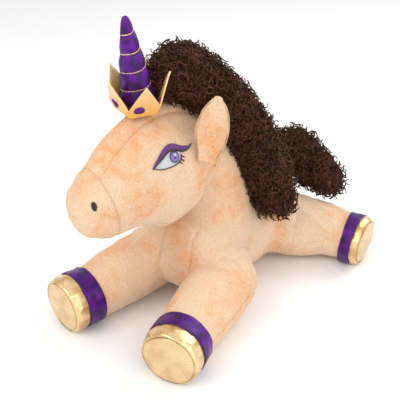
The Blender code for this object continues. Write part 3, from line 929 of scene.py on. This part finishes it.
def ear_place(side):
    """The ear's own frame; its cloth sits a little forwards of the line that it folds on."""
    at = Matrix.Translation((side * (EAR_AT[0] - 3), EAR_AT[1] - 5, EAR_AT[2]))
    return HEAD @ at @ Matrix.Rotation(side * EAR_TURN, 4, "Z") @ Matrix.Rotation(side * EAR_TILT, 4, "Y")


def cupped(point, side):
    """Bends the flat ear forwards at its edges, most at its base."""
    depth = EAR_CUP - EAR_CUP_FADE * max(point.z, 0)
    across = point.x / EAR_HALF
    outer_flap = EAR_FLAP if across * side > 0 else 1.0
    y = point.y - depth * across ** 2 * outer_flap - 0.0026 * max(point.z - 22, 0) ** 2
    return Vector((point.x * (1 - 0.13 * across ** 2), y, point.z))


def ear_layer(name, side, offset, share, thick, material, body, node):
    rows = [(0, offset, z * (0.99 if share < 1 else 1), w * share, thick) for z, w in EAR_SHAPE]
    bm = bmesh.new()
    loft(bm, domed(smooth(rows, 22), 2.5, False), 40)
    for vert in bm.verts:
        vert.co = cupped(vert.co, side)
    layer = piece_from(bm, name, ear_place(side), material)
    rumple(layer, 0.7, 9, seed=6)
    dress(layer, body, "plush", node)


for side_name, side in SIDES.items():
    body = f"ear_{side_name}"
    ear_layer(body + "_back_cloth", side, 1.2, 1.0, 1.5, PLUSH, body, f"ear_back_{side_name}")
    ear_layer(body + "_lining_cloth", side, -1.1, 0.87, 1.3, PLUSH_EAR, body, f"ear_lining_{side_name}")
print("ears made")

# %% Gold hoops
METAL = Finish("hoop_gold", metallic=1.0)
HOOP_METAL = METAL.wear(METAL.mix(METAL.grain(2), (0.90, 0.66, 0.26), (0.70, 0.46, 0.14)),
                        METAL.grain(1.5) * 0.2 + 0.14)
for side_name, side in SIDES.items():
    hook = pivots[f"earring_{side_name}_swing"]
    across = (yaw @ Matrix.Rotation(side * EAR_TURN, 4, "Z")) @ Vector((0, 1, 0))
    middle = hook - Vector((0, 0, HOOP_RADIUS * MM))
    turns = [2 * math.pi * i / 48 for i in range(48)]
    ring = [middle + (across * math.cos(t) + Vector((0, 0, math.sin(t)))) * HOOP_RADIUS * MM for t in turns]
    wire(f"gold_hoop_{side_name}", ring, HOOP_WIRE, HOOP_METAL, f"earring_{side_name}", "gold_metal",
         f"earring_{side_name}", Matrix.Identity(4), closed=True)
print("hoops made")

# %% [markdown]
# ## Embroidered eyes and nostrils
#
# Embroidery is thread laid side by side until it stands a little proud of the pile. Each patch of one
# colour is drawn as a smooth outline on a plane before the head, cut into a fine net with
# bisect_plane, then laid on the plush with its middle raised. White first, then the iris, the lid,
# the outline and the lashes.

# %% Patches of embroidery
EYE_AT = (35, -57, 174.5)
EYE_TILT = math.radians(15)
EYE_SIZE = 0.87
NOSTRIL_AT = (20, -132, 149)
NET_STEP = 1.1           # mm between the cuts of a patch
SOFT_EDGE = 0.9          # mm over which a patch rises to its full height
WHITE_THREAD = thread("white_thread", (0.72, 0.72, 0.78), (0.95, 0.95, 0.97))
LID_THREAD = thread("lid_thread", (0.07, 0.004, 0.13), (0.26, 0.012, 0.36))
IRIS_THREAD = thread("iris_thread", (0.16, 0.11, 0.50), (0.42, 0.36, 0.82))
NAVY_THREAD = thread("navy_thread", (0.006, 0.006, 0.045), (0.02, 0.02, 0.10))
BLACK_THREAD = thread("black_thread", (0.004, 0.004, 0.004), (0.03, 0.028, 0.026))


def face_plane(at, side, tilt=0.0, size=1.0):
    """A plane before the head, tilted down at its back: its origin and its three directions."""
    point, normal, _, _ = head_surface.find_nearest(HEAD @ Vector((side * at[0], at[1], at[2])))
    backwards = (yaw @ Vector((0, 1, 0))).cross(normal).cross(normal) * -1
    backwards.normalize()
    upwards = Vector((0, 0, 1)) - normal * normal.z
    upwards = (upwards - backwards * upwards.dot(backwards)).normalized()
    along = (backwards * math.cos(tilt) - upwards * math.sin(tilt)) * size
    across = (upwards * math.cos(tilt) + backwards * math.sin(tilt)) * size
    return point, along, across, normal


def patch(name, outline, plane, lift, material, *replaced, slot="embroidery"):
    """One colour of embroidery: a flat outline laid on the head, raised away from its edge."""
    origin, backwards, upwards, normal = plane
    bm = bmesh.new()
    rim = [bm.verts.new((u, v, 0)) for u, v in outline]
    stitched = [bm.edges.new(pair) for pair in zip(rim, rim[1:] + rim[:1])]
    bmesh.ops.triangle_fill(bm, use_beauty=True, edges=stitched, normal=(0, 0, 1))
    for axis in (0, 1):
        low = min(point[axis] for point in outline)
        high = max(point[axis] for point in outline)
        for i in range(1, int((high - low) / NET_STEP) + 1):
            cut_at = [0.0, 0.0, 0.0]
            cut_at[axis] = low + i * NET_STEP + 0.013
            across = Vector([float(axis == k) for k in range(3)])
            parts = bm.verts[:] + bm.edges[:] + bm.faces[:]
            bmesh.ops.bisect_plane(bm, geom=parts, plane_co=cut_at, plane_no=across, dist=1e-4)
    bmesh.ops.triangulate(bm, faces=bm.faces)
    sewn = bm.loops.layers.uv.new("UVMap")
    for face in bm.faces:
        for loop in face.loops:
            loop[sewn].uv = loop.vert.co.xy
    near = nearness([(u, v, 0) for u, v in outline])
    for vert in bm.verts:
        inward = near.find(vert.co)[2]
        above = origin + (backwards * vert.co.x + upwards * vert.co.y) * MM
        hit = head_surface.ray_cast(above + normal * 12 * MM, -normal)[0]
        height = lift * (0.45 + 0.55 * min(1, inward / SOFT_EDGE))
        vert.co = (hit or above) + normal * height * MM
    bmesh.ops.recalc_face_normals(bm, faces=bm.faces)
    if sum((face.normal for face in bm.faces), Vector()).dot(normal) < 0:
        bmesh.ops.reverse_faces(bm, faces=bm.faces)
    sewn_patch = piece_from(bm, name, Matrix.Identity(4), material)
    thicken(sewn_patch, 0.9, -1)
    dress(settle(sewn_patch), "head", slot, *replaced)


def oval(u, v, half_u, half_v, count=32):
    turns = [2 * math.pi * i / count for i in range(count)]
    return [Vector((u + half_u * math.cos(t), v + half_v * math.sin(t))) for t in turns]


def tapered(points, widths, steps):
    """The outline of a stroke of thread whose width changes along it."""
    rows = smooth([(*point, width) for point, width in zip(points, widths)], steps)
    along = np.gradient(rows[:, :2], axis=0)
    along /= np.linalg.norm(along, axis=1, keepdims=True)
    beside = np.stack([-along[:, 1], along[:, 0]], axis=1) * rows[:, 2:3] / 2
    return [Vector(p) for p in (*(rows[:, :2] + beside), *(rows[:, :2] - beside)[::-1])]


# %% The eyes
INNER_CORNER = (-23.5, -10.5)
LID_ARC = [INNER_CORNER, (-13.2, -1.2), (-5.6, 5.2), (0.6, 6.6), (6.4, 5.6), (8.6, 2.0)]
LOWER_ARC = [INNER_CORNER, (-14.5, -11.6), (-5.0, -9.9), (2.2, -7.0), (7.2, -3.2)]
LASHES = [((8.2, 0.8), (13.6, -0.6)), ((7.6, -2.0), (12.4, -4.4)), ((6.0, -4.4), (10.2, -7.4))]
for side_name, side in SIDES.items():
    eye_plane = face_plane(EYE_AT, side, EYE_TILT, EYE_SIZE)
    white = [*smooth(LID_ARC, 22)[:-1], *smooth(LOWER_ARC, 18)[:0:-1]]
    patch(f"eye_white_{side_name}", [Vector(p) for p in white], eye_plane, 0.7, WHITE_THREAD,
          f"eye_{side_name}")
    layers = [
        ("iris_ring", oval(0.4, 0.2, 5.9, 6.2), 1.05, NAVY_THREAD),
        ("iris", oval(0.4, -0.1, 4.9, 5.1), 1.45, IRIS_THREAD),
        ("pupil", oval(0.4, -1.0, 2.0, 2.0, 20), 1.75, LID_THREAD),
        ("glint", oval(0.8, 2.1, 2.1, 1.9, 20), 2.0, WHITE_THREAD),
        ("lid", tapered([(-23.8, -10.9), (-14.8, 0.6), (-7.0, 8.2), (0.5, 10.0), (9.0, 8.4), (18.0, 9.2)],
                        [1.4, 3.8, 5.6, 6.0, 5.2, 3.2], 26), 1.5, LID_THREAD),
        ("upper_line", tapered([(-23.8, -11.0), (-13.4, -1.4), (-5.8, 5.2), (0.6, 6.7), (8.4, 5.4)],
                               [1.0, 1.5, 1.7, 1.8, 2.2], 24), 1.9, BLACK_THREAD),
        ("wing", tapered([(6.8, 5.4), (12.5, 6.2), (18.4, 8.6), (23.5, 13.0)],
                         [2.0, 3.0, 2.6, 0.6], 14), 1.85, BLACK_THREAD),
        ("lower_line", tapered([*LOWER_ARC, (8.6, 2.2)], [0.9, 0.8, 0.9, 1.2, 1.7, 2.2], 26), 1.5,
         BLACK_THREAD),
    ]
    for i, lash in enumerate(LASHES):
        layers.append((f"lash_{i + 1}", tapered(lash, [1.7, 0.6], 6), 1.3, BLACK_THREAD))
    for word, outline, lift, material in layers:
        patch(f"eye_{word}_{side_name}", outline, eye_plane, lift, material)
    patch(f"nostril_patch_{side_name}", oval(0, 0, 2.3, 4.0, 24), face_plane(NOSTRIL_AT, side), 0.8,
          BLACK_THREAD, f"nostril_{side_name}", slot="black_thread")
print("embroidery made")

# %% [markdown]
# ## The horn
#
# The horn is a cone of purple satin, stuffed firmly and then wound with gold thread. The thread pulls
# the cloth in, so the satin puffs out between its turns and puckers along them. One formula gives the
# helix; the cone's points sink near it and swell away from it, and the thread lies in the groove.

# %% Horn and its thread
HORN_AT = (0, -67, 214.5)
HORN_LEAN = math.radians(8)
HORN_PLACE = HEAD @ Matrix.Translation(HORN_AT) @ Matrix.Rotation(HORN_LEAN, 4, "X")
HORN_SHAPE = [(-5, 14.6), (0, 14.4), (8, 13.7), (24, 11.9), (39, 9.4), (54, 6.7), (64, 4.6), (70, 3.0)]
THREAD_TURNS = 4
THREAD_FROM = 3.0
THREAD_RISE = 14.6
PUFF = 1.3
THREAD_RADIUS = 0.52
THREAD_EASE = 0.8
THREAD_LEVEL_AT = math.radians(-55)


def climb(angle):
    """Turns of thread climbed by this angle: nearly level on one side, steep on the other."""
    return (angle - THREAD_EASE * math.sin(angle - THREAD_LEVEL_AT)) / (2 * math.pi)


def winding(height, angle):
    """How far between two turns of thread a point lies, from 0 to 1."""
    return ((height - THREAD_FROM) / THREAD_RISE - climb(angle)) % 1


bm = bmesh.new()
loft(bm, domed(smooth([(0, 0, h, r, r) for h, r in HORN_SHAPE], 110), 2.6, False), 88)
for vert in bm.verts:
    if -4.5 < vert.co.z < 70:
        angle = math.atan2(vert.co.y, vert.co.x)
        between = winding(vert.co.z, angle)
        near_thread = math.exp(-min(between, 1 - between) / 0.09)
        swell = PUFF * (math.sin(math.pi * between) ** 0.6 - 0.62)
        pucker = 0.55 * near_thread * math.sin(angle * 23 + vert.co.z * 0.4)
        drape = 0.5 * noise.noise(Vector((angle * 2.2, vert.co.z * 0.12, 3.1)))
        radius = vert.co.xy.length
        scale = (radius + (swell + pucker + drape) * min(1, radius / 5)) / max(radius, 0.1)
        vert.co.xy *= scale
HORN_SATIN = satin("horn_satin", (0.016, 0.000, 0.050), (0.125, 0.000, 0.29), 0.4)
horn = piece_from(bm, "horn_satin_cone", HORN_PLACE, HORN_SATIN)
dress(horn, "head", "purple_satin", "horn_skin", "horn_filling")

GOLD_THREAD = thread("gold_thread", (0.45, 0.24, 0.06), (0.98, 0.72, 0.34), 0.4, 0.3, 0.8)
turns = []
for i in range(THREAD_TURNS * 36 + 24):
    angle = 2 * math.pi * i / 36
    height = THREAD_FROM + THREAD_RISE * climb(angle)
    if 0.5 < height < 67:
        reach = float(np.interp(height, *zip(*HORN_SHAPE))) - PUFF * 0.40
        turns.append((reach * math.cos(angle), reach * math.sin(angle), height))
wire("horn_gold_thread", turns, THREAD_RADIUS, GOLD_THREAD, "head", "gold_thread", "horn_thread", HORN_PLACE)
twist = [(x * 1.02, y * 1.02, z + 0.1) for x, y, z in turns]
stitches("horn_thread_twist", twist, 1.1, 0.35, 0.42, GOLD_THREAD, "head", HORN_PLACE)
print("horn made, with", len(turns), "points of thread")

# %% [markdown]
# ## The crown
#
# The crown is cut from thin gold vinyl on foam and folded into five flat panels, each with a pointed
# top that leans outwards and an oval purple gem low on its face. Five edges of a circle are extruded
# upwards into a band, and each band edge once more into a point, whose two corners are merged.

# %% Crown and gems
CROWN_AT = (0, -68, 211.5)
CROWN_PLACE = HEAD @ Matrix.Translation(CROWN_AT) @ Matrix.Rotation(math.radians(50), 4, "Z")
CROWN_PLACE = CROWN_PLACE @ Matrix.Rotation(math.radians(12), 4, "X")
CROWN_PANELS = 5
CROWN_BASE = 15.6        # from the middle to the middle of a panel
CROWN_BAND = 8.5
CROWN_TIP = 32.0
CROWN_FLARE = 0.32       # outwards for each millimetre up
CROWN_FOAM = 1.3         # the folded vinyl's thickness
GEM_HALF = (1.5, 5.9, 4.0)
GEM_PROUD = 1.2


def vinyl():
    """Gold vinyl: orange gold along the band, paler and flatter towards the points as a painted highlight.
    """
    finish = Finish("crown_vinyl", metallic=0.35, coat_weight=0.1)
    height = finish.attribute("seam")
    tone = finish.grain(6, 3.0)
    # Paler towards the points: a painted highlight driven by the height stored in the seam attribute, with
    # random tone.
    colour = finish.mix((height + tone * 0.3 - 0.15).clamped(), (0.86, 0.44, 0.07), (0.90, 0.66, 0.36))
    worn = finish.mix(tone.steps(0.55, 0.75) * 0.35, colour, (0.62, 0.34, 0.10))
    return finish.wear(worn, tone * 0.2 + 0.30, finish.grain(0.9, 2.0) + tone, 0.3)


half_panel = math.pi / CROWN_PANELS
bm = bmesh.new()
turned_circle = Matrix.Rotation(-math.pi / 2 + half_panel, 4, "Z")
bmesh.ops.create_circle(bm, segments=CROWN_PANELS, radius=CROWN_BASE / math.cos(half_panel),
                        matrix=turned_circle)
raised = bmesh.ops.extrude_edge_only(bm, edges=bm.edges[:])["geom"]
for vert in parts_of(raised, bmesh.types.BMVert):
    vert.co.xy *= (CROWN_BASE + CROWN_BAND * CROWN_FLARE) / CROWN_BASE
    vert.co.z = CROWN_BAND
for edge in parts_of(raised, bmesh.types.BMEdge):
    if not edge.is_boundary or min(vert.co.z for vert in edge.verts) < CROWN_BAND - 0.1:
        continue
    middle = sum((vert.co for vert in edge.verts), Vector()) / 2
    tip = middle.xy.normalized() * (CROWN_BASE + CROWN_TIP * CROWN_FLARE)
    corners = parts_of(bmesh.ops.extrude_edge_only(bm, edges=[edge])["geom"], bmesh.types.BMVert)
    bmesh.ops.pointmerge(bm, verts=corners, merge_co=(tip.x, tip.y, CROWN_TIP))
bmesh.ops.subdivide_edges(bm, edges=bm.edges[:], cuts=5, use_grid_fill=True)
bmesh.ops.triangulate(bm, faces=bm.faces)
for vert in bm.verts:
    curl_out = max(0, vert.co.z - CROWN_BAND) / (CROWN_TIP - CROWN_BAND)
    vert.co.xy *= 1 + 0.05 * curl_out ** 2 + 0.012 * noise.noise(vert.co * 0.12)
bmesh.ops.recalc_face_normals(bm, faces=bm.faces)
# Heights from band to tips, stored in the seam attribute to place the vinyl's painted highlight.
heights = [vert.co.z / CROWN_TIP for vert in bm.verts]
crown = piece_from(bm, "crown_vinyl", CROWN_PLACE, vinyl())
crown.data.attributes.new("seam", "FLOAT", "POINT").data.foreach_set("value", heights)
thicken(crown, CROWN_FOAM, 0)
rounded = crown.modifiers.new("rounded", "BEVEL")
rounded.width = 0.3 * MM
rounded.segments = 2
rounded.limit_method = "ANGLE"
settle(crown)
crown.data.set_sharp_from_angle(angle=math.radians(35))
dress(crown, "head", "gold_vinyl", "crown")

GEM_FOIL = satin("gem_foil", (0.06, 0.000, 0.13), (0.17, 0.001, 0.33), 0.3)
for i in range(CROWN_PANELS):
    angle = 2 * math.pi * i / CROWN_PANELS - math.pi / 2
    height = CROWN_BAND - 0.5
    reach = CROWN_BASE + height * CROWN_FLARE + GEM_PROUD
    lean = Matrix.Rotation(math.atan(CROWN_FLARE), 4, "Y")
    at = Matrix.Translation((reach * math.cos(angle), reach * math.sin(angle), height))
    shape = Matrix.Diagonal((*GEM_HALF, 1))
    bm = bmesh.new()
    bmesh.ops.create_uvsphere(bm, u_segments=32, v_segments=16, radius=1)
    for vert in bm.verts:
        vert.co.x = math.copysign(abs(vert.co.x) ** 0.7, vert.co.x)
    gem = piece_from(bm, f"crown_oval_gem_{i + 1}",
                     CROWN_PLACE @ at @ Matrix.Rotation(angle, 4, "Z") @ lean @ shape, GEM_FOIL)
    dress(gem, "head", "purple_satin", f"crown_gem_{i + 1}")
print("crown made")

# %% [markdown]
# ## Mane and tail
#
# The mane and tail are a knitted cloth with a pile of tight curls. Modelling each yarn's whole path
# would be endless, so a few kinds of curl are drawn as short helices with a few dozen faces each, and
# Geometry Nodes strews thousands of them over a lumpy dark form, each turned and scaled at random
# from a fixed seed. The neck's mane is sewn to both head and trunk, but here it rides on neither body
# and stays where it is made.

# %% Curls
CURL_KINDS = 7
CURL_SHARES = [i / 13 for i in range(14)]
CURL_YARN = 0.72         # the yarn's radius
CURL_ROOT = 1.4          # how deep a curl stands in the cloth
CURL_SPACING = 3.1
TILT = 0.75              # how far a curl may lean, in radians


def curls_finish():
    """Brown yarn: darker in the depths, lighter where strands catch the light."""
    finish = Finish("curly_yarn")
    finish.shader.inputs["Specular IOR Level"].default_value = 0.15
    strand = finish.grain(2.6, 2.0)
    locks = finish.grain(13, 2.0)
    shade = finish.ramp((strand * 0.75 + locks * 0.35 - 0.05).clamped(),
                        (0.30, (0.012, 0.0038, 0.0018)), (0.50, (0.060, 0.020, 0.009)),
                        (0.74, (0.200, 0.078, 0.038)))
    return finish.wear(shade, 0.42 + strand * 0.25, finish.grain(0.35, 1.0), 0.12)


CURLY = curls_finish()
kinds = bpy.data.collections.new("curl_kinds")
dice = random.Random(11)
for kind in range(CURL_KINDS):
    radius = dice.uniform(1.6, 3.0)
    turns = dice.uniform(1.0, 1.8)
    length = dice.uniform(5.0, 9.0)
    bend = dice.uniform(-2.5, 2.5)
    helix = []
    for t in CURL_SHARES:
        angle = 2 * math.pi * turns * t
        reach = radius * (0.6 + 0.4 * t)
        x = reach * math.cos(angle) + bend * t * t
        helix.append(Vector((x, reach * math.sin(angle), length * t - CURL_ROOT)) * MM)
    shape = drawn_mesh(f"curl_{kind}", helix, CURL_YARN, 0, radii=[1.0 - 0.45 * t for t in CURL_SHARES])
    kinds.objects.link(bpy.data.objects.new(f"curl_{kind}", shape))


def strew(name, base, spacing, seed):
    """Curls standing on the base form, a set distance apart, as one piece."""
    tree = bpy.data.node_groups.new(name, "GeometryNodeTree")
    tree.interface.new_socket("Geometry", in_out="INPUT", socket_type="NodeSocketGeometry")
    tree.interface.new_socket("Geometry", in_out="OUTPUT", socket_type="NodeSocketGeometry")

    def step(kind, links, settings=None):
        made = tree.nodes.new(kind)
        for word, value in (settings or {}).items():
            setattr(made, word, value)
        for word, value in links.items():
            if isinstance(value, bpy.types.NodeSocket):
                tree.links.new(value, made.inputs[word])
            else:
                made.inputs[word].default_value = value
        return made.outputs

    surface = step("NodeGroupInput", {})["Geometry"]
    dots = step("GeometryNodeDistributePointsOnFaces",
                {"Mesh": surface, "Distance Min": spacing * MM, "Density Max": 400000.0, "Seed": seed},
                {"distribute_method": "POISSON"})
    vectors = {"data_type": "FLOAT_VECTOR"}
    turn = step("FunctionNodeRandomValue",
                {0: (-TILT, -TILT, -math.pi), 1: (TILT, TILT, math.pi), "Seed": seed + 1},
                vectors)
    size = step("FunctionNodeRandomValue", {2: 0.75, 3: 1.45, "Seed": seed + 2}, {"data_type": "FLOAT"})
    pick = step("FunctionNodeRandomValue", {4: 0, 5: CURL_KINDS - 1, "Seed": seed + 3},
                {"data_type": "INT"})
    lean = step("FunctionNodeRotateRotation", {0: dots["Rotation"], 1: turn[0]},
                {"rotation_space": "LOCAL"})
    source = step("GeometryNodeCollectionInfo",
                  {"Collection": kinds, "Separate Children": True, "Reset Children": True})
    placed = step("GeometryNodeInstanceOnPoints",
                  {"Points": dots["Points"], "Instance": source[0], "Pick Instance": True,
                   "Instance Index": pick[2], "Rotation": lean[0], "Scale": size[1]})
    real = step("GeometryNodeRealizeInstances", {"Geometry": placed[0]})
    dyed = step("GeometryNodeSetMaterial", {"Geometry": real[0], "Material": CURLY})
    step("NodeGroupOutput", {"Geometry": dyed[0]})
    coat = bpy.data.objects.new(name, base.data.copy())
    scene.collection.objects.link(coat)
    pile = coat.modifiers.new("pile", "NODES")
    pile.node_group = tree
    settle(coat)
    print(name, len(coat.data.polygons), "faces")
    return coat


# %% Mane and tail forms
FORELOCK = [(1, -46, 222, 14, 12), (1, -37, 229, 20, 19), (1, -25, 230, 24, 23), (2, -12, 225, 25, 24),
            (3, 0, 215, 25, 23), (5, 9, 205, 24, 21)]
MANE = [(3, 4, 213, 21, 19), (6, 14, 202, 26, 23), (11, 29, 183, 29, 25), (17, 44, 159, 29, 26),
        (26, 54, 135, 29, 26), (36, 60, 110, 25, 25), (46, 63, 88, 17, 19)]
TAIL = [(0, 152, 90, 11, 11), (3, 154, 101, 18, 18), (15, 157, 103, 22, 21), (31, 158, 94, 21, 21),
        (48, 157, 84, 19, 18), (66, 153, 77, 13, 13)]


def pile_form(name, stations, where, lumps):
    """The dark lumpy form under the curls."""
    bm = bmesh.new()
    rows = domed(domed(smooth(stations, 22), stations[0][3] * 0.6, True), stations[-1][3] * 0.7, False)
    loft(bm, rows, 32)
    form = remesh(piece_from(bm, name, where, CURLY), 2.6)
    rumple(form, lumps, 11, seed=3)
    rumple(form, lumps * 0.5, 5, seed=8)
    return form


forelock = pile_form("forelock_form", FORELOCK, HEAD, 3.6)
neck_mane = pile_form("neck_mane_form", MANE, BODY, 3.8)
tail = pile_form("tail_form", TAIL, BODY, 3.6)
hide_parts("mane_forelock")
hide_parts("mane_neck")
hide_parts("tail")
coats = [(forelock, "forelock", 2), (neck_mane, "neck_mane", 3), (tail, "tail", 2)]
for form, word, layers in coats:
    made = [strew(f"{word}_curls_{i + 1}", form, CURL_SPACING * layers ** 0.5, 20 * i + len(word))
            for i in range(layers)]
    for piece in (form, *made):
        if word == "neck_mane":
            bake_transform(piece)
        else:
            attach(piece, "head" if word == "forelock" else "tail")
for kind in list(kinds.objects):
    bpy.data.objects.remove(kind)

# %% Floor, size and finish
floor_bm = bmesh.new()
bmesh.ops.create_grid(floor_bm, x_segments=1, y_segments=1, size=4000)
floor_look = Finish("pale_floor")
floor_tone = floor_look.mix(floor_look.grain(400) * 0.3, (0.93, 0.93, 0.93), (0.90, 0.90, 0.90))
floor = piece_from(floor_bm, "floor", Matrix.Scale(MM, 4), floor_look.wear(floor_tone, 0.8))
